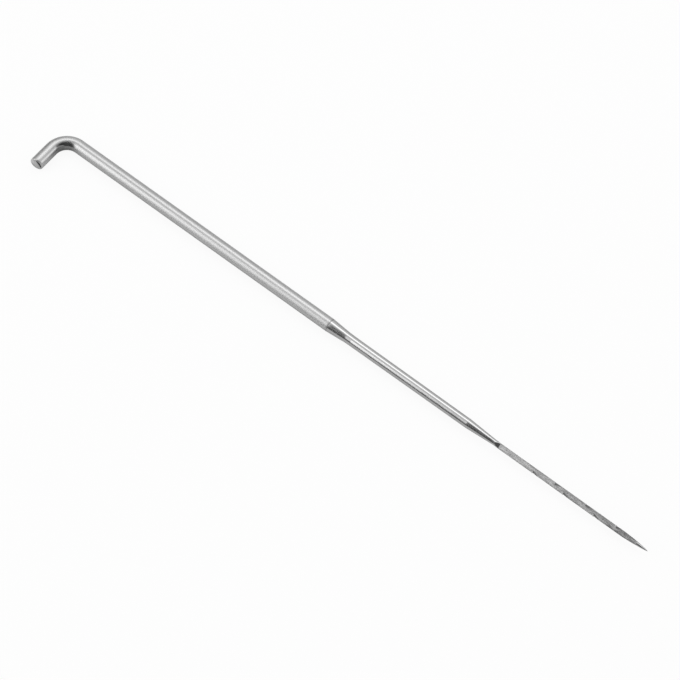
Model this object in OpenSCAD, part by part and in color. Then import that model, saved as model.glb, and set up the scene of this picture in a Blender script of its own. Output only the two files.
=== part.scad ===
// Felting needle: one steel wire, cranked at the top, drawn down in two steps
// and pressed to a three-edged blade with struck barbs.
// X runs along the shank towards the tip, the crank's leg points along -Y,
// and Z is up as the needle lies on a table. The origin is on the shank's axis,
// where the straight shank leaves the bend of the crank.

/* [Shank and crank] */
// Diameter of the shank and the crank
shank_d = 1.75; // [1.6:0.05:1.9]
// Length from the underside of the crank to the tip; the straight shank takes up any difference
needle_l = 88.9; // [76:0.1:100]
// Radius of the bend, measured to the middle of the wire
bend_r = 2.4; // [1.8:0.1:3]
// Reach of the crank, from the shank's axis to the middle of its cut end
crank_reach = 5.25; // [4:0.05:7]
// Slant of the sheared end, towards the shank
cut_slant = 6.5; // [0:0.5:12]
// Slant of the sheared end, upwards
cut_rise = 3.5; // [0:0.5:12]

/* [Intermediate section] */
// Length of the cone between the shank and the intermediate section
shank_cone_l = 2.5; // [1.5:0.1:5]
// Diameter at the narrow end of that cone
shank_cone_d = 1.36; // [1.355:0.005:1.45]
// Length of the short blend that follows that cone
blend_l = 0.9; // [0.5:0.1:2]
// Length of the intermediate section
mid_l = 17.55; // [12:0.05:19]
// Diameter of the intermediate section at its thick end
mid_top_d = 1.32; // [1.28:0.005:1.345]
// Diameter of the intermediate section at its thin end
mid_end_d = 1.22; // [1.15:0.005:1.27]

/* [Blade] */
// Length of the three-edged blade, with its point
working_l = 21.8; // [20:0.1:24]
// Length of the cone between the intermediate section and the blade
blade_cone_l = 4.05; // [3:0.05:6]
// Diameter at the narrow end of that cone
blade_neck_d = 0.71; // [0.69:0.01:0.76]
// Length over which the pressed corners grow out of that neck
flare_l = 0.75; // [0.7:0.05:2]
// Length of the slope that leads from the round neck down to each pressed flat
run_out_l = 0.7; // [0.4:0.05:0.7]
// Width of the blade across one flat, over its rounded corners
blade_w = 0.71; // [0.66:0.005:0.74]
// Radius of the blade's corners
corner_r = 0.06; // [0.04:0.005:0.08]
// Length of the tapered point
point_l = 3.85; // [2.5:0.05:3.85]

/* [Barbs] */
// Number of barbs on each corner
barbs_per_corner = 3; // [1:1:3]
// Distance from the tip to the first barb
first_barb = 4.65; // [4.6:0.05:6]
// Distance between two barbs on one corner
barb_pitch = 4.52; // [2:0.02:4.6]
// Depth of a barb below the corner
barb_depth = 0.09; // [0.04:0.01:0.1]
// Length of the throat in front of a barb
barb_throat = 0.6; // [0.3:0.05:0.65]
// Height that the struck metal is kicked up above the corner
kick_up = 0.035; // [0.005:0.005:0.04]
// Length of the kicked-up ramp behind a barb
kick_l = 0.35; // [0.1:0.05:0.5]
// Lean of the barb's face over its throat, in degrees
barb_lean = 15; // [0:1:25]

/* [Hidden] */
$fn = 96;

steel = [0.75, 0.75, 0.76];
polished_steel = [0.86, 0.86, 0.87];
pressed_steel = [0.62, 0.62, 0.63];

shank_r = shank_d / 2;
mid_top_r = mid_top_d / 2;
mid_end_r = mid_end_d / 2;

// Where each length of the needle starts, worked out from the tip backwards
tip_x = needle_l + shank_r - bend_r;
point_x = tip_x - point_l;
blade_x = tip_x - working_l;
blade_cone_x = blade_x - flare_l - blade_cone_l;
mid_x = blade_cone_x - mid_l;
cone_x = mid_x - blend_l - shank_cone_l;

// The blade's section is a rounded triangle. One corner points the way that the crank does.
corners = 3;
corner_turn = 360 / corners;
first_corner = 60;
corner_out = (blade_w - 2 * corner_r) / sqrt(3);
blade_r = corner_out + corner_r;
flat_out = corner_out / 2 + corner_r;

// The point's outline is between a cone (curve 1) and a parabola (curve 2), turned in short
// cones. It starts a little outside the corners, so that it runs into them.
point_steps = 12;
point_spread = 1.02;
point_curve = 1.65;
point_r = blade_r * point_spread;

// Room that a cutter has past the surface it cuts
over = 0.05;
// Width of a barb's cutter, and of its kicked-up ramp, across the corner
barb_w = 0.4;
kick_w = 0.07;
// Depth to which the kicked-up ramp is rooted in the corner
kick_root = 0.03;

// Stands what is drawn along Z on the needle's axis at x, pointing at the tip
module at_x(x) {
    translate([x, 0, 0])
        rotate([90, 0, 90])
            children();
}

// A turned length from x on; outline gives [radius, distance] pairs along its outside
module turned(x, outline) {
    length = outline[len(outline) - 1][1];
    at_x(x)
        rotate_extrude()
            polygon(concat([[0, 0]], outline, [[0, length]]));
}

// Draws in the half plane of one direction round the needle: X along it, Y outwards
module outwards(angle, width) {
    rotate([angle, 0, 0])
        linear_extrude(height = width, center = true)
            children();
}

// A place on a circle of this radius round the origin
function round_place(radius, angle) = [radius * cos(angle), radius * sin(angle)];

// The direction of each corner of the blade, from Y towards Z
function corner_angle(i) = first_corner - i * corner_turn;

// A length of plain blade from x on: three round corners, joined by flats that touch them
module blade_bar(x, length) {
    at_x(x) {
        for (i = [0 : corners - 1])
            translate(round_place(corner_out, corner_angle(i)))
                cylinder(r = corner_r, h = length);
        linear_extrude(height = length)
            polygon([
                for (i = [0 : corners - 1], side = [1, -1])
                    round_place(corner_out, corner_angle(i))
                        + round_place(corner_r, corner_angle(i) + side * corner_turn / 2)
            ]);
    }
}

module crank_leg() {
    bite = shank_d * 4;
    color(steel)
        difference() {
            translate([-bend_r, -bend_r, 0])
                rotate([90, 0, 0])
                    cylinder(r = shank_r, h = crank_reach - bend_r + shank_r);
            translate([-bend_r, -crank_reach, 0])
                rotate([-cut_rise, 0, cut_slant])
                    translate([0, -bite / 2, 0])
                        cube(bite, center = true);
        }
}

module crank_bend() {
    color(steel)
        translate([0, -bend_r, 0])
            rotate([0, 0, 90])
                rotate_extrude(angle = 90)
                    translate([bend_r, 0])
                        circle(r = shank_r);
}

module shank() {
    color(steel)
        at_x(0)
            cylinder(r = shank_r, h = cone_x);
}

module shank_cone() {
    color(polished_steel)
        turned(cone_x, [
            [shank_r, 0],
            [shank_cone_d / 2, shank_cone_l],
            [mid_top_r, shank_cone_l + blend_l]
        ]);
}

module intermediate_section() {
    color(polished_steel)
        turned(mid_x, [[mid_top_r, 0], [mid_end_r, mid_l]]);
}

// The space over one flat's slope, where the press has driven the round neck in
module run_out_cut(angle) {
    rise = blade_neck_d / 2 - flat_out + over;
    slope = (blade_neck_d / 2 - flat_out) / run_out_l;
    outwards(angle, blade_w * 2)
        polygon([
            [blade_x + over, flat_out - over * slope],
            [blade_x + over, blade_w],
            [blade_x - rise / slope, blade_w],
            [blade_x - rise / slope, flat_out + rise]
        ]);
}

module blade_cone() {
    color(polished_steel)
        difference() {
            turned(blade_cone_x, [
                [mid_end_r, 0],
                [blade_neck_d / 2, blade_cone_l],
                [blade_r, blade_cone_l + flare_l]
            ]);
            for (i = [0 : corners - 1])
                run_out_cut(corner_angle(i) + corner_turn / 2);
        }
}

// The metal that a barb's stroke pushes up, just behind the barb's face at x
module kicked_up(x, angle) {
    lean = kick_up * tan(barb_lean);
    outwards(angle, kick_w)
        polygon([
            [x - kick_l, blade_r - kick_root],
            [x - kick_l, blade_r - corner_r / 2],
            [x + lean, blade_r + kick_up],
            [x + lean, blade_r - kick_root]
        ]);
}

// The space in front of a barb: its face leans towards the tip, and its throat slopes back out
module throat(x, angle) {
    top = kick_up + over;
    face_lean = (barb_depth + top) * tan(barb_lean);
    reach = barb_throat * (barb_depth + top) / barb_depth;
    outwards(angle, barb_w)
        polygon([
            [x, blade_r - barb_depth],
            [x + reach, blade_r + top],
            [x + face_lean, blade_r + top]
        ]);
}

// The barbs step round the corners, a third of the pitch further from the tip each time
module at_each_barb() {
    for (turn = [0 : barbs_per_corner - 1], i = [0 : corners - 1]) {
        $barb_x = tip_x - first_barb - (turn + i / corners) * barb_pitch;
        $barb_angle = corner_angle(i);
        children();
    }
}

module blade() {
    color(pressed_steel)
        difference() {
            union() {
                blade_bar(blade_x, point_x - blade_x);
                at_each_barb()
                    kicked_up($barb_x, $barb_angle);
            }
            at_each_barb()
                throat($barb_x, $barb_angle);
        }
}

module point() {
    color(pressed_steel)
        intersection() {
            blade_bar(point_x, point_l);
            turned(point_x, [
                for (i = [point_steps : -1 : 1])
                    [point_r * i / point_steps, point_l * (1 - pow(i / point_steps, point_curve))],
                [0, point_l]
            ]);
        }
}

crank_leg();
crank_bend();
shank();
shank_cone();
intermediate_section();
blade_cone();
blade();
point();
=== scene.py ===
import math

import bmesh
import bpy
from mathutils import Matrix, Vector, noise


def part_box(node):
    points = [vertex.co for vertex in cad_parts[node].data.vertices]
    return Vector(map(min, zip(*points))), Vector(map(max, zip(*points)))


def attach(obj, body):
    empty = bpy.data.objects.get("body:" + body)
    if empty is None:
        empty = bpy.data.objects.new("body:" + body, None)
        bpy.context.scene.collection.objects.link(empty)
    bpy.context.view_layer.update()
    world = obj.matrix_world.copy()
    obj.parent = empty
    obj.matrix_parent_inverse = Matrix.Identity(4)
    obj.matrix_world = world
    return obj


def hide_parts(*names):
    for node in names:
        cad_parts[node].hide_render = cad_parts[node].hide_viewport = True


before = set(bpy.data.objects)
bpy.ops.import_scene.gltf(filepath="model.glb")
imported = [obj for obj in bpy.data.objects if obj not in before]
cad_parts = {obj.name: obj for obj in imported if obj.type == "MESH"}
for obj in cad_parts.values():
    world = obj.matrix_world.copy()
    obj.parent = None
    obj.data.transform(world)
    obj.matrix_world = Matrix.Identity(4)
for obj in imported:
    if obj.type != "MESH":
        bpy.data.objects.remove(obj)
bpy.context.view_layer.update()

# Camera. A long lens far away, looking down from the front right, so that the needle
# runs from the upper left of the picture to the lower right with hardly any perspective.
MM = 0.001
SENSOR = 36.0
LENS = 227.0
AZIMUTH = math.radians(38.95)
ELEVATION = math.radians(60.30)
ROLL = math.radians(0.39)
CAMERA_DISTANCE = 511.5 * MM
AIM = Vector((41.91, -0.82, 0)) * MM

to_camera = Vector((
    math.sin(AZIMUTH) * math.cos(ELEVATION),
    -math.cos(AZIMUTH) * math.cos(ELEVATION),
    math.sin(ELEVATION),
))
lens = bpy.data.cameras.new("camera")
lens.lens = LENS
lens.sensor_width = SENSOR
lens.sensor_fit = "HORIZONTAL"
lens.clip_start = 10 * MM
camera = bpy.data.objects.new("camera", lens)
camera.matrix_world = (
    Matrix.Translation(AIM + to_camera * CAMERA_DISTANCE)
    @ to_camera.to_track_quat("Z", "Y").to_matrix().to_4x4()
    @ Matrix.Rotation(ROLL, 4, "Z")
)
bpy.context.collection.objects.link(camera)
bpy.context.scene.camera = camera
bpy.context.scene.view_settings.view_transform = "Standard"

# Table, a white laminate sheet under a pale dome. The lens sees it nearly even, with a faint
# shadow. The steel, which lies on it, mirrors it with more of that shadow. The dome is darker
# near the horizon and on the left.
TABLE_REACH = 2.0
SHADE_SEEN = 0.08
SHADE_MIRRORED = 0.6
MIRRORED_GREY = 0.82
DOME_LOW = 0.48
DOME_HIGH = 1.03
DOME_RISE = 0.28
DOME_LEFT = 0.75
DOME_LEFT_EDGE = (-0.95, -0.6)
wire_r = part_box("shank")[1].y


def add_node(tree, kind, inputs=None, **settings):
    """Adds a node, sets its properties, and gives each named input a value or a link."""
    added = tree.nodes.new(kind)
    for name, value in settings.items():
        setattr(added, name, value)
    for name, value in (inputs or {}).items():
        if isinstance(value, bpy.types.NodeSocket):
            tree.links.new(value, added.inputs[name])
        else:
            added.inputs[name].default_value = value
    return added


def linear(code):
    """The linear colour of an sRGB hex code such as #C0C0C0."""
    parts = [int(code[i : i + 2], 16) / 255 for i in (1, 3, 5)]
    return [p / 12.92 if p <= 0.04045 else ((p + 0.055) / 1.055) ** 2.4 for p in parts] + [1]


def new_material(name):
    """Makes a material that has no nodes yet, and returns it with its node tree."""
    material = bpy.data.materials.new(name)
    material.use_nodes = True
    material.node_tree.nodes.clear()
    return material, material.node_tree


# White laminate: smooth and even, so that nothing of it shows but its shadow.
laminate, tree = new_material("white_laminate")
rays = add_node(tree, "ShaderNodeLightPath").outputs
mirrored = add_node(
    tree, "ShaderNodeMath",
    {0: rays["Is Glossy Ray"], 1: rays["Is Transmission Ray"]}, operation="MAXIMUM",
).outputs[0]
evenly = add_node(
    tree, "ShaderNodeMath", {0: mirrored, 1: 1 - SHADE_MIRRORED}, operation="MULTIPLY"
).outputs[0]
evenly = add_node(
    tree, "ShaderNodeMath",
    {0: rays["Is Camera Ray"], 1: 1 - SHADE_SEEN, 2: evenly}, operation="MULTIPLY_ADD",
).outputs[0]
sheet = add_node(tree, "ShaderNodeBsdfDiffuse", {"Color": linear("#E4E4E4")})
level = add_node(
    tree, "ShaderNodeMapRange", {"Value": mirrored, "To Min": 1.0, "To Max": MIRRORED_GREY}
).outputs[0]
white = add_node(tree, "ShaderNodeEmission", {"Color": linear("#FFFFFF"), "Strength": level})
mixed = add_node(
    tree, "ShaderNodeMixShader", {0: evenly, 1: sheet.outputs[0], 2: white.outputs[0]}
)
add_node(tree, "ShaderNodeOutputMaterial", {"Surface": mixed.outputs[0]})

bm = bmesh.new()
bmesh.ops.create_grid(
    bm, x_segments=1, y_segments=1, size=TABLE_REACH, matrix=Matrix.Translation((0, 0, -wire_r))
)
mesh = bpy.data.meshes.new("table")
bm.to_mesh(mesh)
bm.free()
mesh.materials.append(laminate)
table = bpy.data.objects.new("table", mesh)
bpy.context.collection.objects.link(table)

world = bpy.data.worlds.new("dome")
world.use_nodes = True
world.node_tree.nodes.clear()
tree = world.node_tree
direction = add_node(tree, "ShaderNodeTexCoord").outputs["Generated"]
axes = add_node(tree, "ShaderNodeSeparateXYZ", {0: direction}).outputs
upward = add_node(
    tree, "ShaderNodeMapRange",
    {"Value": axes["Z"], "From Min": 0.0, "From Max": DOME_RISE,
     "To Min": DOME_LOW, "To Max": DOME_HIGH},
).outputs[0]
sideways = add_node(
    tree, "ShaderNodeMapRange",
    {"Value": axes["X"], "From Min": DOME_LEFT_EDGE[0], "From Max": DOME_LEFT_EDGE[1],
     "To Min": DOME_LEFT, "To Max": 1.0},
).outputs[0]
shade = add_node(
    tree, "ShaderNodeMath", {0: upward, 1: sideways}, operation="MULTIPLY"
).outputs[0]
sky = add_node(tree, "ShaderNodeBackground", {"Color": linear("#FFFFFF"), "Strength": shade})
add_node(tree, "ShaderNodeOutputWorld", {"Surface": sky.outputs[0]})
bpy.context.scene.world = world

# Lights. A long soft box high behind the needle draws the bright line along its upper side,
# and a square one at the front left draws the second. A small one low in front brightens
# the lower side, and one on the right the crank's leg.
SOFT_BOXES = {
    "back_soft_box": dict(
        towards=(-0.276, 0.425, 0.862), away=0.597, size=(0.44, 0.26), radiance=1.47
    ),
    "front_soft_box": dict(
        towards=(-0.62, -0.555, 0.555), away=0.72, size=(0.56, 0.58), radiance=1.6
    ),
    "low_soft_box": dict(
        towards=(-0.486, -0.87, 0.14), away=0.95, size=(0.25, 0.26), radiance=1.1
    ),
    "right_soft_box": dict(
        towards=(0.81, 0.37, 0.46), away=0.80, size=(0.30, 0.40), radiance=1.4
    ),
}
NEEDLE_MIDDLE = Vector((45, 0, 0)) * MM

for name, box in SOFT_BOXES.items():
    towards = Vector(box["towards"]).normalized()
    width, depth = box["size"]
    light = bpy.data.lights.new(name, "AREA")
    light.shape = "RECTANGLE"
    light.size = width
    light.size_y = depth
    light.energy = box["radiance"] * math.pi * width * depth
    lamp = bpy.data.objects.new(name, light)
    along = Vector((1, 0, 0))
    across = towards.cross(along).normalized()
    turned = Matrix((across.cross(towards), across, towards)).transposed().to_4x4()
    lamp.matrix_world = Matrix.Translation(NEEDLE_MIDDLE + towards * box["away"]) @ turned
    lamp.visible_camera = False
    bpy.context.collection.objects.link(lamp)

# Dark cards, which give the bright steel its dark parts. One stands in front, one leans over
# from there above the camera, and two low ones stand at the back and on the left.
CARDS = {
    "low_dark_card": dict(foot=(-340, -1000, -0.5), top=(-352, -1000, 740), along=(1600, 0, 0)),
    "high_dark_card": dict(foot=(-200, -960, 700), top=(-126, -22, 1086), along=(1400, 0, 0)),
    "back_dark_card": dict(foot=(-290, 1000, -0.5), top=(-290, 1000, 110), along=(1600, 0, 0)),
    "left_dark_card": dict(foot=(-1000, 50, -0.5), top=(-1000, 50, 300), along=(0, 900, 0)),
}
CARD_LEVEL = 0.13

# Dark grey card: painted light, a dim even glow in place of a lit card, with no shine, so
# that the steel mirrors it as one dark band.
card_glow, tree = new_material("dark_grey_card")
dim_glow = add_node(
    tree, "ShaderNodeEmission", {"Color": linear("#FFFFFF"), "Strength": CARD_LEVEL}
)
add_node(tree, "ShaderNodeOutputMaterial", {"Surface": dim_glow.outputs[0]})
for name, card_size in CARDS.items():
    foot, top = (Vector(card_size[end]) * MM for end in ("foot", "top"))
    bm = bmesh.new()
    corner = bm.verts.new(foot)
    made = bmesh.ops.extrude_vert_indiv(bm, verts=[corner])
    bmesh.ops.translate(bm, verts=made["verts"], vec=top - foot)
    made = bmesh.ops.extrude_edge_only(bm, edges=made["edges"])
    far_side = [part for part in made["geom"] if isinstance(part, bmesh.types.BMVert)]
    bmesh.ops.translate(bm, verts=far_side, vec=Vector(card_size["along"]) * MM)
    mesh = bpy.data.meshes.new(name)
    bm.to_mesh(mesh)
    bm.free()
    mesh.materials.append(card_glow)
    card = bpy.data.objects.new(name, mesh)
    card.visible_camera = False
    bpy.context.collection.objects.link(card)

# Crank leg. The free end of the drawn steel wire, a short straight stub that a holder traps.
# It is cropped off in a shear, so its end face is a little slanted: rolled over where the
# blade went in, smooth, then broken. Its rim is rounded afterwards, by tumbling.
AROUND = 192
DIE_LINE = 0.0012 * MM
DIE_LINES = 4.0
WIRE_STEP = 0.5 * MM
SHARP = math.radians(32)
CUT_SLANT = math.radians(6.5)
CUT_RISE = math.radians(3.5)
FACE_RINGS = 22
RING_CROWD = 1.6

# The cut face: its forms, with places on it as shares of the radius.
RIM_ROUND = 0.10 * MM
ENTRY = Vector((0.77, 0.64))
ROLL_OVER = 0.20 * MM
ROLL_STARTS = 0.42
BREAK_STARTS = -0.1
BREAK_SPEED = 14
BREAK_DEPTH = 0.025 * MM
BREAK_GRAIN = 0.09 * MM
BREAK_FADE = 12
BREAK_AT_RIM = 0.15

# The cut face: its pale fresh metal, dimmed by painted shade towards the entry side and
# downwards, and a painted shadow in the arc of the roll-over.
FACE_DEPTH = 0.4 * MM
FACE_EDGE = (0.985, 0.999)
FACE_PAINTED_SHADE = 0.8
PAINTED_SHADE_TO_ENTRY = (-0.5, 0.5)
PAINTED_SHADE_DOWNWARDS = (-0.3, 0.6)
ARC_STARTS = (0.38, 0.48)
ARC_ENDS = (0.72, 0.88)
ARC_BOW = 0.35
ARC_EDGE = (0.78, 0.90)

# Inside the bend: the pin's burnished track, glossier and darkened with painted shade, and
# painted shade that is wider and darker towards the leg. They run on a little way into the
# straight lengths.
PIN_TRACK = (0.28, 0.60)
PIN_FADE = 2.0 * MM
PIN_PAINTED_SHADE = 0.5
PAINTED_SHADE_TRACK = (0.50, 0.85)
LEG_SHADE_STARTS = (1.6 * MM, 2.5 * MM)
LEG_SHADE_ENDS = (3.1 * MM, 3.7 * MM)
LEG_SHADE_WIDER = (0.2, 0.3)
LEG_SHADE_DARKER = 0.3

bend_r = -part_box("crank_bend")[0].x - wire_r
bend_middle = Vector((0, -bend_r, 0))
leg_middle = Vector((-bend_r, -bend_r, 0))
quarter_turn = bend_r * math.pi / 2
leg_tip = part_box("crank_leg")[0].y + wire_r * math.hypot(math.tan(CUT_SLANT), math.tan(CUT_RISE))


def ring_edges(verts):
    """The edges that join a new ring's vertices."""
    return list(dict.fromkeys(edge for vert in verts for edge in vert.link_edges))


def wire_ring(bm):
    """A ring of the wire's section round the X axis, with the ridges of the drawing die."""
    made = bmesh.ops.create_circle(
        bm, segments=AROUND, radius=wire_r, matrix=Matrix.Rotation(math.pi / 2, 4, "Y")
    )
    for vert in made["verts"]:
        outward = vert.co.normalized()
        vert.co += outward * DIE_LINE * noise.fractal(outward * DIE_LINES, 1.0, 2.0, 2)
    return made["verts"], ring_edges(made["verts"])


def extrude_ring(bm, edges):
    """Extrudes a ring of edges and returns the new ring's vertices and edges."""
    made = bmesh.ops.extrude_edge_only(bm, edges=edges)["geom"]
    verts = [part for part in made if isinstance(part, bmesh.types.BMVert)]
    fresh = set(verts)
    return verts, [
        part for part in made
        if isinstance(part, bmesh.types.BMEdge) and fresh.issuperset(part.verts)
    ]


def smooth(value, low, high):
    """Rises from 0 at low to 1 at high, with soft ends."""
    share = min(1.0, max(0.0, (value - low) / (high - low)))
    return share * share * (3 - 2 * share)


def note_wire(bm, place):
    """Stores each vertex's place on the straightened wire, in millimetres, for the steel's
    lines, and the pin's burnish with painted shade in X, fresh metal in Y and painted shade in Z."""
    lines = bm.verts.layers.float_vector.new("wire")
    marks_and_painted_shade = bm.verts.layers.float_vector.new("marks_and_painted_shade")
    for vert in bm.verts:
        on_wire = place(vert.co)
        vert[lines] = on_wire / MM
        inwards = -on_wire.y / wire_r
        legwards = smooth(-on_wire.x, *LEG_SHADE_STARTS)
        legwards *= 1 - smooth(-on_wire.x, *LEG_SHADE_ENDS)
        low, high = (edge - wider * legwards for edge, wider in zip(PAINTED_SHADE_TRACK, LEG_SHADE_WIDER))
        # Painted shade inside the bend, wider and darker towards the leg.
        bend_shade = smooth(inwards, low, high) * PIN_PAINTED_SHADE * (1 + LEG_SHADE_DARKER * legwards)
        faded = smooth(on_wire.x, -quarter_turn - PIN_FADE, -quarter_turn + PIN_FADE / 4)
        faded *= 1 - smooth(on_wire.x, -PIN_FADE / 2, PIN_FADE / 4)
        vert[marks_and_painted_shade] = Vector((smooth(inwards, *PIN_TRACK) * faded, 0, bend_shade * faded))


def make_piece(bm, name, material):
    """Turns a closed shell into an object with smooth faces and its sharp edges kept."""
    bmesh.ops.remove_doubles(bm, verts=bm.verts, dist=1e-8)
    bmesh.ops.recalc_face_normals(bm, faces=bm.faces)
    for face in bm.faces:
        face.smooth = True
    for edge in bm.edges:
        edge.smooth = edge.calc_face_angle(0) < SHARP
    mesh = bpy.data.meshes.new(name)
    bm.to_mesh(mesh)
    bm.free()
    mesh.materials.append(material)
    piece = bpy.data.objects.new(name, mesh)
    bpy.context.collection.objects.link(piece)
    return piece


# Wire-drawn carbon steel: satin, with fine lines along the wire that spread a reflection
# across it and hardly along it. Real lines lie 0.01 to 0.05 mm apart. The coarser ones here
# are 0.32 mm apart, which is as fine as the picture shows. Where the pin rubbed, the steel is
# glossier and streaked, and darker with painted shade. Freshly cut, it is paler and duller.
# Painted shade darkens the inside of the bend, the ring and an arc on the cut face.
LINE_GAP = 0.32
LINE_LENGTH = 60.0
LINE_DEPTH = 0.0022 * MM
LINES_IN_BAND = 4
SATIN = (0.31, 0.40)
STREAKS = (0.38, 0.62)
RUBBED_GLOSS = 0.20
CUT_GLOSS = 0.48

drawn_steel, tree = new_material("wire_drawn_steel")
wire = add_node(tree, "ShaderNodeAttribute", attribute_name="wire").outputs["Vector"]
lines = add_node(
    tree, "ShaderNodeMapping",
    {"Vector": wire, "Scale": (1 / LINE_LENGTH, 1 / LINE_GAP, 1 / LINE_GAP)},
).outputs[0]
fine = add_node(
    tree, "ShaderNodeTexNoise", {"Vector": lines, "Scale": 1.0, "Detail": 1.0, "Roughness": 0.5}
).outputs["Fac"]
broad = add_node(
    tree, "ShaderNodeTexNoise",
    {"Vector": lines, "Scale": 1 / LINES_IN_BAND, "Detail": 2.0, "Roughness": 0.5},
).outputs["Fac"]
satin = add_node(
    tree, "ShaderNodeMapRange",
    {"Value": broad, "From Min": 0.3, "From Max": 0.7, "To Min": SATIN[0], "To Max": SATIN[1]},
).outputs[0]
tone = add_node(
    tree, "ShaderNodeMix",
    {"Factor": fine, "A": linear("#9B9B9B"), "B": linear("#C3C3C3")}, data_type="RGBA",
).outputs["Result"]
streaks = add_node(
    tree, "ShaderNodeMapRange", {"Value": fine, "From Min": STREAKS[0], "From Max": STREAKS[1]}
).outputs[0]
# The pin's track: its streaks are the steel's own, its darker tone is painted shade.
rubbed_with_painted_shade = add_node(
    tree, "ShaderNodeMix",
    {"Factor": streaks, "A": linear("#828282"), "B": linear("#B6B6B6")}, data_type="RGBA",
).outputs["Result"]
marks_and_painted_shade = add_node(tree, "ShaderNodeAttribute", attribute_name="marks_and_painted_shade").outputs["Vector"]
marks_and_painted_shade = add_node(tree, "ShaderNodeSeparateXYZ", {0: marks_and_painted_shade}).outputs
# Y pales the fresh cut face; X, the pin's track, and Z darken the steel with painted shade.
for mark, colour in (("Y", linear("#D6D6D6")), ("X", rubbed_with_painted_shade), ("Z", linear("#383838"))):
    tone = add_node(
        tree, "ShaderNodeMix", {"Factor": marks_and_painted_shade[mark], "A": tone, "B": colour}, data_type="RGBA"
    ).outputs["Result"]
for mark, gloss in (("Y", CUT_GLOSS), ("X", RUBBED_GLOSS)):
    satin = add_node(
        tree, "ShaderNodeMix", {"Factor": marks_and_painted_shade[mark], "A": satin, "B": gloss}
    ).outputs[0]
relief = add_node(
    tree, "ShaderNodeBump", {"Height": fine, "Strength": 1.0, "Distance": LINE_DEPTH}
).outputs[0]
surface = add_node(
    tree, "ShaderNodeBsdfPrincipled",
    {"Base Color": tone, "Metallic": 1.0, "Roughness": satin, "Normal": relief},
)
add_node(tree, "ShaderNodeOutputMaterial", {"Surface": surface.outputs[0]})


def cut_height(x, z):
    """Where the slanted cut lies along Y, over a point of the leg's section."""
    return leg_tip + math.tan(CUT_SLANT) * (x - leg_middle.x) + math.tan(CUT_RISE) * z


def entry_side(x, z):
    """The share of the radius by which a point of the leg's section is on the side where the
    shear's blade went in."""
    return Vector((x - leg_middle.x, z)).dot(ENTRY) / wire_r


def cut_relief(x, z):
    """How far back the cut face stands at a point of the leg's section: in the roll-over, at
    the rounded rim and in the broken half's grain."""
    towards_exit = (leg_middle.x - x) / wire_r
    rim = math.hypot(x - leg_middle.x, z) / wire_r
    into_roll = min(1.0, max(0.0, entry_side(x, z) - ROLL_STARTS) / (1 - ROLL_STARTS))
    rolled = (1 - math.sqrt(1 - into_roll**2)) * ROLL_OVER
    past = max(0.0, rim * wire_r - (wire_r - RIM_ROUND))
    rounded = RIM_ROUND - math.sqrt(max(0.0, RIM_ROUND**2 - past**2))
    broken = 1 / (1 + math.exp(-(towards_exit - BREAK_STARTS) * BREAK_SPEED))
    broken *= min(1.0, (1 - rim) * BREAK_FADE + BREAK_AT_RIM)
    grain = noise.fractal(Vector((x, 0, z)) / BREAK_GRAIN, 0.7, 2.0, 4)
    return rolled + rounded + broken * BREAK_DEPTH * (0.6 + 0.5 * grain)


bm = bmesh.new()
verts, edges = wire_ring(bm)
bmesh.ops.rotate(bm, verts=verts, cent=bend_middle, matrix=Matrix.Rotation(math.pi / 2, 3, "Z"))
bmesh.ops.edgeloop_fill(bm, edges=edges)
leg_steps = math.ceil((leg_middle.y - leg_tip) / WIRE_STEP)
for step in range(1, leg_steps + 1):
    verts, edges = extrude_ring(bm, edges)
    for vert in verts:
        drop = cut_height(vert.co.x, vert.co.z) - leg_middle.y
        vert.co.y = leg_middle.y + drop * step / leg_steps
rim = verts
for ring in range(1, FACE_RINGS):
    verts, edges = extrude_ring(bm, edges)
    share = 1 - (ring / FACE_RINGS) ** RING_CROWD
    before = 1 - ((ring - 1) / FACE_RINGS) ** RING_CROWD
    for vert in verts:
        vert.co.x = leg_middle.x + (vert.co.x - leg_middle.x) * share / before
        vert.co.z *= share / before
        vert.co.y = cut_height(vert.co.x, vert.co.z) + cut_relief(vert.co.x, vert.co.z)
for vert in rim:
    vert.co.y += cut_relief(vert.co.x, vert.co.z)
bmesh.ops.pointmerge(bm, verts=verts, merge_co=sum((v.co for v in verts), Vector()) / len(verts))
note_wire(bm, lambda co: Vector((co.y - leg_middle.y - quarter_turn, leg_middle.x - co.x, co.z)))
marks_and_painted_shade = bm.verts.layers.float_vector["marks_and_painted_shade"]
for vert in bm.verts:
    x, y, z = vert.co
    if y < leg_middle.y and y - FACE_DEPTH < cut_height(x, z):
        entered = entry_side(x, z)
        aside = Vector((x - leg_middle.x, z)).cross(ENTRY) / wire_r
        out = math.hypot(x - leg_middle.x, z) / wire_r
        pale = 1 - smooth(out, *FACE_EDGE)
        # Painted shade towards the entry side and downwards.
        pale *= 1 - FACE_PAINTED_SHADE * smooth(entered, *PAINTED_SHADE_TO_ENTRY)
        pale *= 1 - FACE_PAINTED_SHADE * smooth(-z / wire_r, *PAINTED_SHADE_DOWNWARDS)
        # A painted shadow in the arc of the roll-over.
        arc = smooth(entered, *ARC_STARTS) * (1 - smooth(out, *ARC_EDGE))
        arc *= 1 - smooth(entered + ARC_BOW * aside**2, *ARC_ENDS)
        vert[marks_and_painted_shade] = Vector((0, pale, arc))
crank_leg = make_piece(bm, "sheared_leg", drawn_steel)
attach(crank_leg, "root")
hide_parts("crank_leg")

# Crank bend. The same wire, bent cold round a small pin. The steel thins a little on the
# outside of the bend, and the pin leaves a flat, burnished track on the inside.
BEND_STEPS = 56
THINNING = 0.012
PIN_FLAT = 0.02 * MM
FLAT_STARTS = 0.8

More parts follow.
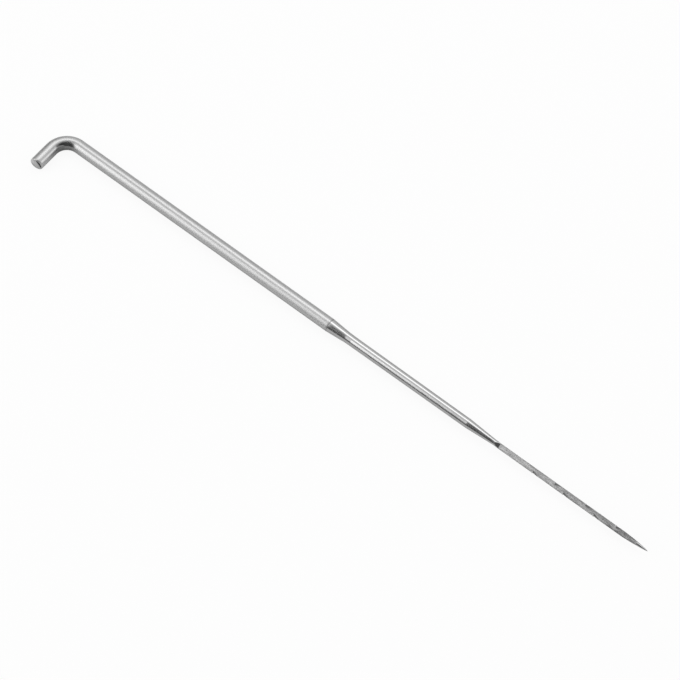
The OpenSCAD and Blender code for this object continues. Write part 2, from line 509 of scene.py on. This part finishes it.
bm = bmesh.new()
verts, edges = wire_ring(bm)
bmesh.ops.edgeloop_fill(bm, edges=edges)
made = bmesh.ops.spin(
    bm, geom=verts + edges, cent=bend_middle, axis=(0, 0, 1), angle=math.pi / 2,
    steps=BEND_STEPS, use_merge=False, use_duplicate=False,
)
last = [part for part in made["geom_last"] if isinstance(part, bmesh.types.BMEdge)]
bmesh.ops.edgeloop_fill(bm, edges=last)


def straightened(co):
    """The place on the straightened wire of a point of the bend."""
    reach = (co - bend_middle).to_2d()
    turn = math.atan2(-reach.x, reach.y)
    return Vector((-turn * bend_r, reach.length - bend_r, co.z))


note_wire(bm, straightened)
for vert in bm.verts:
    reach = (vert.co - bend_middle).to_2d()
    turn = math.atan2(-reach.x, reach.y)
    out = reach.length - bend_r
    flat = max(0.0, -out / wire_r - FLAT_STARTS) / (1 - FLAT_STARTS)
    moved = PIN_FLAT * flat - THINNING * max(0.0, out)
    vert.co += Vector((*reach.normalized(), 0)) * moved * math.sin(2 * turn) ** 2
crank_bend = make_piece(bm, "bent_wire", drawn_steel)
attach(crank_bend, "root")
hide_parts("crank_bend")

# Shank. The straight length of full-size wire that the holder grips, left as drawn. The
# swaging hammers stop at its lower end, where they leave a fine ring, darkened with painted shade.
RING_WIDTH = 0.12 * MM
RING_DEPTH = 0.010 * MM
RING_PAINTED_SHADE = 0.6
RING_ZONE = 0.6 * MM
RING_STEP = 0.02 * MM

shank_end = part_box("shank")[1].x


def ring_share(x):
    """How much of the hammers' fine ring there is at x: all of it at the shank's end."""
    return math.exp(-(((x - shank_end) / RING_WIDTH) ** 2))


bm = bmesh.new()
verts, edges = wire_ring(bm)
bmesh.ops.edgeloop_fill(bm, edges=edges)
fine_from = shank_end - RING_ZONE
stations = [step * MM for step in range(1, int(fine_from / MM) + 1)]
stations += [fine_from + step * RING_STEP for step in range(round(RING_ZONE / RING_STEP) + 1)]
for x in stations:
    verts, edges = extrude_ring(bm, edges)
    for vert in verts:
        vert.co.x = x
for vert in bm.verts:
    across = Vector((0, vert.co.y, vert.co.z))
    vert.co -= across.normalized() * RING_DEPTH * ring_share(vert.co.x)
bmesh.ops.edgeloop_fill(bm, edges=edges)
note_wire(bm, lambda co: co.copy())
marks_and_painted_shade = bm.verts.layers.float_vector["marks_and_painted_shade"]
# Painted shade in the ring at the shank's end.
for vert in bm.verts:
    vert[marks_and_painted_shade] += Vector((0, 0, RING_PAINTED_SHADE * ring_share(vert.co.x)))
shank = make_piece(bm, "drawn_shank", drawn_steel)
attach(shank, "root")
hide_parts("shank")

# First reduction. Rotary hammers draw the wire down in a short cone. Polishing it together
# with the length below rounds the cone's ends over.
REDUCTION_STEP = 0.05 * MM
CONE_LENGTH = 2.5 * MM
CONE_END_R = 0.68 * MM
SHOULDER = 0.006 * MM
RING_SHOULDER = 0.020 * MM

cone_start, cone_end = (corner.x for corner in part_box("shank_cone"))
mid_start, mid_end = (corner.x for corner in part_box("intermediate_section"))
mid_top_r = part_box("intermediate_section")[1].y
mid_end_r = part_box("blade_cone")[1].y

# Swaged and polished steel: close to a mirror, with faint lines along it from the polishing
# cloth, under 1 micron deep, and a gloss that changes softly every 2 mm or so. Real lines are
# far finer. These are 0.4 mm apart, which is as fine as the picture shows.
POLISH_GAP = 0.4
POLISH_LENGTH = 30.0
POLISH_DEPTH = 0.0008 * MM
CLOTH_PATCH = 2.0
POLISH = (0.12, 0.19)

polished_steel, tree = new_material("bright_polished_steel")
place = add_node(tree, "ShaderNodeTexCoord").outputs["Object"]
in_mm = add_node(
    tree, "ShaderNodeMapping", {"Vector": place, "Scale": (1 / MM, 1 / MM, 1 / MM)}
).outputs[0]
scratches = add_node(
    tree, "ShaderNodeMapping",
    {"Vector": in_mm, "Scale": (1 / POLISH_LENGTH, 1 / POLISH_GAP, 1 / POLISH_GAP)},
).outputs[0]
fine = add_node(
    tree, "ShaderNodeTexNoise",
    {"Vector": scratches, "Scale": 1.0, "Detail": 1.0, "Roughness": 0.5},
).outputs["Fac"]
cloth = add_node(
    tree, "ShaderNodeTexNoise",
    {"Vector": in_mm, "Scale": 1 / CLOTH_PATCH, "Detail": 2.0, "Roughness": 0.5},
).outputs["Fac"]
gloss = add_node(
    tree, "ShaderNodeMapRange",
    {"Value": cloth, "From Min": 0.3, "From Max": 0.7, "To Min": POLISH[0], "To Max": POLISH[1]},
).outputs[0]
relief = add_node(
    tree, "ShaderNodeBump", {"Height": fine, "Strength": 1.0, "Distance": POLISH_DEPTH}
).outputs[0]
tone = add_node(
    tree, "ShaderNodeMix",
    {"Factor": cloth, "A": linear("#AEAEAE"), "B": linear("#B4B4B4")}, data_type="RGBA",
).outputs["Result"]
surface = add_node(
    tree, "ShaderNodeBsdfPrincipled",
    {"Base Color": tone, "Metallic": 1.0, "Roughness": gloss, "Normal": relief},
)
add_node(tree, "ShaderNodeOutputMaterial", {"Surface": surface.outputs[0]})


def soft_max(one, other, rounding):
    """The larger of two values, with a round change-over."""
    return (one + other + math.hypot(one - other, rounding)) / 2


def soft_min(one, other, rounding):
    """The smaller of two values, with a round change-over."""
    return (one + other - math.hypot(one - other, rounding)) / 2


def middle_taper(x):
    """The radius at x of the intermediate section's even taper."""
    return mid_top_r + (mid_end_r - mid_top_r) * (x - mid_start) / (mid_end - mid_start)


def first_reduction(x):
    """The radius at x: the wire, the cone, then a slow blend into the length below."""
    cone = wire_r + (CONE_END_R - wire_r) * (x - cone_start) / CONE_LENGTH
    blend_length = cone_end - cone_start - CONE_LENGTH
    blend = mid_top_r + (CONE_END_R - mid_top_r) * (cone_end - x) / blend_length
    upper = soft_min(wire_r, soft_max(cone, blend, SHOULDER), RING_SHOULDER)
    return soft_max(upper, middle_taper(x), SHOULDER / 2)


def spaced(start, end, step):
    """Even places after start and up to end, no more than a step apart."""
    count = math.ceil((end - start) / step)
    return [start + (end - start) * n / count for n in range(1, count + 1)]


def turned_piece(name, material, start, end, step, radius):
    """A closed round bar from start to end, whose radius is a function of x."""
    bm = bmesh.new()
    made = bmesh.ops.create_circle(
        bm, segments=AROUND, radius=radius(start),
        matrix=Matrix.Translation((start, 0, 0)) @ Matrix.Rotation(math.pi / 2, 4, "Y"),
    )
    edges = ring_edges(made["verts"])
    bmesh.ops.edgeloop_fill(bm, edges=edges)
    for x in spaced(start, end, step):
        verts, edges = extrude_ring(bm, edges)
        for vert in verts:
            across = Vector((0, vert.co.y, vert.co.z)).normalized()
            vert.co = across * radius(x) + Vector((x, 0, 0))
    bmesh.ops.edgeloop_fill(bm, edges=edges)
    return make_piece(bm, name, material)


shank_cone = turned_piece(
    "first_reduction", polished_steel, cone_start, cone_end, REDUCTION_STEP, first_reduction
)
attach(shank_cone, "root")
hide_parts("shank_cone")

# Intermediate section. The slimmer middle length, swaged to a slight taper and polished
# bright. The hammers leave its taper about a micron uneven.
MIDDLE_STEP = 0.25 * MM
WAVE = 0.0012 * MM
WAVE_LENGTH = 2.6 * MM


def middle_radius(x):
    """The tapering radius of the intermediate section, with the hammers' slight waves."""
    fade = min(1.0, (x - mid_start) / WAVE_LENGTH, (mid_end - x) / WAVE_LENGTH)
    return middle_taper(x) + WAVE * fade * noise.noise(Vector((x / WAVE_LENGTH, 0, 0)))


intermediate = turned_piece(
    "polished_middle", polished_steel, mid_start, mid_end, MIDDLE_STEP, middle_radius
)
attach(intermediate, "root")
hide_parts("intermediate_section")

# Second reduction. A longer cone down to the blade's neck, still round and polished. At its
# end the press has driven three slopes into it, and its corners flare out between them.
BLADE_CONE = 4.05 * MM
NECK_R = 0.355 * MM
RUN_OUT = 0.7 * MM
FINE_RUN = 1.3 * RUN_OUT
SECTION_ROUNDING = 0.004 * MM
CORNERS = 3
FIRST_CORNER = math.radians(60)
STEPS_PER_CORNER = 56
CROWD = 1.8

reduction_start, blade_start = (corner.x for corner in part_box("blade_cone"))
blade_r = -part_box("point")[0].y
flat_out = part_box("point")[1].y
corner_r = 2 * flat_out - blade_r
corner_out = blade_r - corner_r
neck_x = reduction_start + BLADE_CONE
half_corner = math.pi / CORNERS
round_until = math.atan2(
    corner_r * math.sin(half_corner), corner_out + corner_r * math.cos(half_corner)
)


def from_corner(angle):
    """The angle from the nearest corner of the blade."""
    return (angle - FIRST_CORNER + half_corner) % (2 * half_corner) - half_corner


def triangle_reach(angle):
    """The distance from the axis to the blade's outside, in this direction."""
    off = abs(from_corner(angle))
    if off < round_until:
        rounding = math.sqrt(corner_r**2 - (corner_out * math.sin(off)) ** 2)
        return corner_out * math.cos(off) + rounding
    return flat_out / math.cos(half_corner - off)


def second_reduction(x, angle):
    """The distance from the axis to the outside, in this direction at x."""
    cone = mid_end_r + (NECK_R - mid_end_r) * (x - reduction_start) / BLADE_CONE
    cone = soft_min(mid_end_r, cone, SHOULDER)
    flare = NECK_R + (blade_r - NECK_R) * max(0.0, x - neck_x) / (blade_start - neck_x)
    bar = soft_max(cone, flare, SHOULDER)
    slope = flat_out + (NECK_R - flat_out) * (blade_start - x) / RUN_OUT
    cut = slope / math.cos(half_corner - abs(from_corner(angle)))
    pressed = soft_min(bar, cut, SECTION_ROUNDING)
    near = max(0.0, 1 - (blade_start - x) / RUN_OUT)
    return pressed + (triangle_reach(angle) - pressed) * near**3


def triangle_ring(bm):
    """A ring round the X axis, whose vertices crowd at the blade's three corners."""
    made = bmesh.ops.create_circle(
        bm, segments=CORNERS * STEPS_PER_CORNER, radius=MM,
        matrix=Matrix.Rotation(math.pi / 2, 4, "Y"),
    )
    for vert in made["verts"]:
        angle = math.atan2(vert.co.z, vert.co.y)
        off = from_corner(angle) / half_corner
        crowded = math.copysign(abs(off) ** CROWD, off) * half_corner
        turn = angle - from_corner(angle) + crowded
        vert.co = (0, MM * math.cos(turn), MM * math.sin(turn))
    return made["verts"], ring_edges(made["verts"])


def set_reach(verts, x, reach):
    """Puts a ring at x, each vertex at the distance from the axis that reach gives."""
    for vert in verts:
        angle = math.atan2(vert.co.z, vert.co.y)
        out = reach(angle)
        vert.co = (x, out * math.cos(angle), out * math.sin(angle))


bm = bmesh.new()
verts, edges = triangle_ring(bm)
set_reach(verts, reduction_start, lambda angle: second_reduction(reduction_start, angle))
bmesh.ops.edgeloop_fill(bm, edges=edges)
stations = spaced(reduction_start, blade_start - FINE_RUN, 2 * REDUCTION_STEP)
stations += spaced(blade_start - FINE_RUN, blade_start, REDUCTION_STEP / 2)
for x in stations:
    verts, edges = extrude_ring(bm, edges)
    set_reach(verts, x, lambda angle: second_reduction(x, angle))
bmesh.ops.edgeloop_fill(bm, edges=edges)
blade_cone = make_piece(bm, "second_reduction", polished_steel)
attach(blade_cone, "root")
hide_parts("blade_cone")

# Blade. The three-edged working part, pressed between dies and left matt, with rounded
# corners. A chisel strikes three barbs into each corner: it raises a small lip, and in front
# of the lip it leaves a steep face that leans over a sloping throat.
BLADE_STEP = 0.15 * MM
BARBS_PER_CORNER = 3
FIRST_BARB = 4.65 * MM
BARB_PITCH = 4.52 * MM
BARB_DEPTH = 0.09 * MM
BARB_LEAN = math.radians(15)
BARB_STEP = 0.02 * MM
BARB_STEPS = 5
THROAT = 0.6 * MM
KICK_UP = 0.035 * MM
KICK_LENGTH = 0.35 * MM
LIP_ANGLE = math.radians(7)
SLOPE_STEPS = 8

# On the pressed skin: darker beside the corners, painted shade in the throats, a painted
# highlight on the lips, and smooth where the point is ground.
EDGE_WIDTH = 0.20 * MM
EDGE_DARK = 0.25
THROAT_SHADE_LENGTH = 1.0 * MM
THROAT_SHADE_WIDTH = 0.30 * MM
THROAT_SHADE_SOFT = 0.7
LIP_HIGHLIGHT = 0.5
GROUND_FROM = 2.0 * MM
GROUND_FULLY = 1.2 * MM

# Press-formed steel: a dull grey skin with fine grain and a mottling that the dies have drawn
# out lengthwise, darker towards the hardened tip. Real grain is 0.02 to 0.1 mm. Here it is
# 0.25 mm and the mottling 0.2 by 1 mm, which is as fine as the picture shows. The hardening
# is in millimetres along the needle.
GRAIN = 0.25
GRAIN_DEPTH = 0.015 * MM
MOTTLE_WIDTH = GRAIN / 1.2
MOTTLE_STRETCH = 5.0
MOTTLE = (0.36, 0.64)
HARDENED = (68.0, 87.0)
MATT = (0.36, 0.46)
GROUND_GLOSS = 0.20

pressed_steel, tree = new_material("press_formed_steel")
place = add_node(tree, "ShaderNodeTexCoord").outputs["Object"]
in_mm = add_node(
    tree, "ShaderNodeMapping", {"Vector": place, "Scale": (1 / MM, 1 / MM, 1 / MM)}
).outputs[0]
grain = add_node(
    tree, "ShaderNodeTexNoise",
    {"Vector": in_mm, "Scale": 1 / GRAIN, "Detail": 4.0, "Roughness": 0.6},
).outputs["Fac"]
drawn_out = add_node(
    tree, "ShaderNodeMapping", {"Vector": in_mm, "Scale": (1 / MOTTLE_STRETCH, 1.0, 1.0)}
).outputs[0]
mottle = add_node(
    tree, "ShaderNodeTexNoise",
    {"Vector": drawn_out, "Scale": 1 / MOTTLE_WIDTH, "Detail": 3.0, "Roughness": 0.6},
).outputs["Fac"]
mottle = add_node(
    tree, "ShaderNodeMapRange", {"Value": mottle, "From Min": MOTTLE[0], "From Max": MOTTLE[1]}
).outputs[0]
press = add_node(tree, "ShaderNodeAttribute", attribute_name="press").outputs["Vector"]
press = add_node(tree, "ShaderNodeSeparateXYZ", {0: press}).outputs
along = add_node(tree, "ShaderNodeSeparateXYZ", {0: in_mm}).outputs["X"]
hardened = add_node(
    tree, "ShaderNodeMapRange",
    {"Value": along, "From Min": HARDENED[0], "From Max": HARDENED[1]},
).outputs[0]
matt = add_node(
    tree, "ShaderNodeMix", {"Factor": mottle, "A": MATT[0], "B": MATT[1]}
).outputs[0]
matt = add_node(
    tree, "ShaderNodeMix", {"Factor": press["Z"], "A": matt, "B": GROUND_GLOSS}
).outputs[0]
tone = add_node(
    tree, "ShaderNodeMix",
    {"Factor": mottle, "A": linear("#949494"), "B": linear("#BABABA")}, data_type="RGBA",
).outputs["Result"]
darker = add_node(
    tree, "ShaderNodeMix",
    {"Factor": mottle, "A": linear("#707070"), "B": linear("#A5A5A5")}, data_type="RGBA",
).outputs["Result"]
# Darker beside the corners and painted shade in the throats (X), a painted highlight on the lips
# (Y), and the ground point's own tone (Z).
for mark, colour in (
    (hardened, darker),
    (press["X"], linear("#5E5E5E")),
    (press["Y"], linear("#D0D0D0")),
    (press["Z"], linear("#B4B4B4")),
):
    tone = add_node(
        tree, "ShaderNodeMix", {"Factor": mark, "A": tone, "B": colour}, data_type="RGBA"
    ).outputs["Result"]
relief = add_node(
    tree, "ShaderNodeBump", {"Height": grain, "Strength": 1.0, "Distance": GRAIN_DEPTH}
).outputs[0]
surface = add_node(
    tree, "ShaderNodeBsdfPrincipled",
    {"Base Color": tone, "Metallic": 1.0, "Roughness": matt, "Normal": relief},
)
add_node(tree, "ShaderNodeOutputMaterial", {"Surface": surface.outputs[0]})

point_start, tip_x = (corner.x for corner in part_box("point"))
barbs = [
    (tip_x - FIRST_BARB - (turn + corner / CORNERS) * BARB_PITCH,
     FIRST_CORNER - corner * 2 * half_corner)
    for turn in range(BARBS_PER_CORNER)
    for corner in range(CORNERS)
]


def barbs_beside(x, angle):
    """For each barb on this direction's corner, how far x is ahead of the barb's face, and
    the angle from the corner."""
    for face_x, barb_angle in barbs:
        off = (angle - barb_angle + math.pi) % (2 * math.pi) - math.pi
        if abs(off) <= half_corner:
            yield x - face_x, off


def barbed_reach(x, angle, in_front):
    """The blade's reach at x, with the lips and throats of the barbs near it. Right at a
    barb's face there is a lip if in_front is false, and a throat if it is true."""
    reach = triangle_reach(angle)
    for ahead, off in barbs_beside(x, angle):
        if -KICK_LENGTH <= ahead < 0 or (ahead == 0 and not in_front):
            rise = (1 + ahead / KICK_LENGTH) ** 2
            reach += KICK_UP * rise * math.exp(-((off / LIP_ANGLE) ** 4))
        elif 0 <= ahead <= THROAT:
            floor = blade_r - BARB_DEPTH * (1 - ahead / THROAT)
            reach = min(reach, floor / math.cos(off))
    return reach


def note_press(bm):
    """Stores how dark each vertex is beside a corner, its painted shade in a barb's throat, its
    painted highlight on a lip, and how far the grinding of the point has smoothed it."""
    layer = bm.verts.layers.float_vector.new("press")
    for vert in bm.verts:
        x = vert.co.x
        angle = math.atan2(vert.co.z, vert.co.y)
        reach = math.hypot(vert.co.y, vert.co.z)
        inside = corner_out - reach * math.cos(from_corner(angle))
        to_corner = math.hypot(inside, reach * math.sin(from_corner(angle)))
        beside = 1 - smooth(to_corner, corner_r, EDGE_WIDTH)
        dark = EDGE_DARK * beside
        pale = 0.0
        for ahead, _ in barbs_beside(x, angle):
            # Painted shade in the throat, ahead of the barb's face.
            if -1e-9 < ahead < THROAT_SHADE_LENGTH:
                share = 1 - ahead / THROAT_SHADE_LENGTH
                width = corner_r + (THROAT_SHADE_WIDTH - corner_r) * share
                throat_shade = 1 - smooth(to_corner, width * THROAT_SHADE_SOFT, width)
                dark = max(dark, math.sqrt(share) * throat_shade)
            # A painted highlight on the lip.
            elif -KICK_LENGTH < ahead < 0:
                pale = LIP_HIGHLIGHT * (1 + ahead / KICK_LENGTH) * beside
        ground = smooth(x, tip_x - GROUND_FROM, tip_x - GROUND_FULLY)
        vert[layer] = Vector((dark * (1 - ground), pale, ground))


bm = bmesh.new()
verts, edges = triangle_ring(bm)
set_reach(verts, blade_start, triangle_reach)
bmesh.ops.edgeloop_fill(bm, edges=edges)
stations = {(x, True) for x in spaced(blade_start, point_start, BLADE_STEP)}
for face_x, _ in barbs:
    stations |= {(face_x, False), (face_x, True), (face_x + THROAT, True)}
    stations |= {(face_x - n * KICK_LENGTH / SLOPE_STEPS, True) for n in range(1, SLOPE_STEPS + 1)}
    stations |= {(face_x + n * BARB_STEP, True) for n in range(1, BARB_STEPS + 1)}
    stations |= {(face_x + n * THROAT / SLOPE_STEPS, True) for n in range(2, SLOPE_STEPS)}
for x, in_front in sorted(stations):
    verts, edges = extrude_ring(bm, edges)
    set_reach(verts, x, lambda angle: barbed_reach(x, angle, in_front))
    if not in_front:
        for vert in verts:
            angle = math.atan2(vert.co.z, vert.co.y)
            face = math.hypot(vert.co.y, vert.co.z) - barbed_reach(x, angle, True)
            vert.co.x += max(0.0, face) * math.tan(BARB_LEAN)
bmesh.ops.edgeloop_fill(bm, edges=edges)
note_press(bm)
blade = make_piece(bm, "barbed_blade", pressed_steel)
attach(blade, "root")
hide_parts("blade")

# Point. The blade's own section, ground away on a curve until the three corners meet. The
# very tip is rounded, so that it slips between the fibres.
POINT_STEPS = 48
POINT_SPREAD = 1.02
POINT_CURVE = 1.65
GRIND_ROUNDING = 0.004 * MM


def point_reach(share, angle):
    """The reach of the point at a share of the way back from the tip to the blade."""
    curve = blade_r * POINT_SPREAD * share ** (1 / POINT_CURVE)
    ground = soft_min(curve, triangle_reach(angle), GRIND_ROUNDING * share)
    return min(triangle_reach(angle), ground)


bm = bmesh.new()
verts, edges = triangle_ring(bm)
set_reach(verts, point_start, triangle_reach)
bmesh.ops.edgeloop_fill(bm, edges=edges)
for step in range(1, POINT_STEPS):
    share = (1 - step / POINT_STEPS) ** POINT_CURVE
    verts, edges = extrude_ring(bm, edges)
    x = tip_x - (tip_x - point_start) * share
    set_reach(verts, x, lambda angle: point_reach(share, angle))
bmesh.ops.pointmerge(bm, verts=verts, merge_co=(tip_x, 0, 0))
note_press(bm)
point = make_piece(bm, "ground_point", pressed_steel)
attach(point, "root")
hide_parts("point")
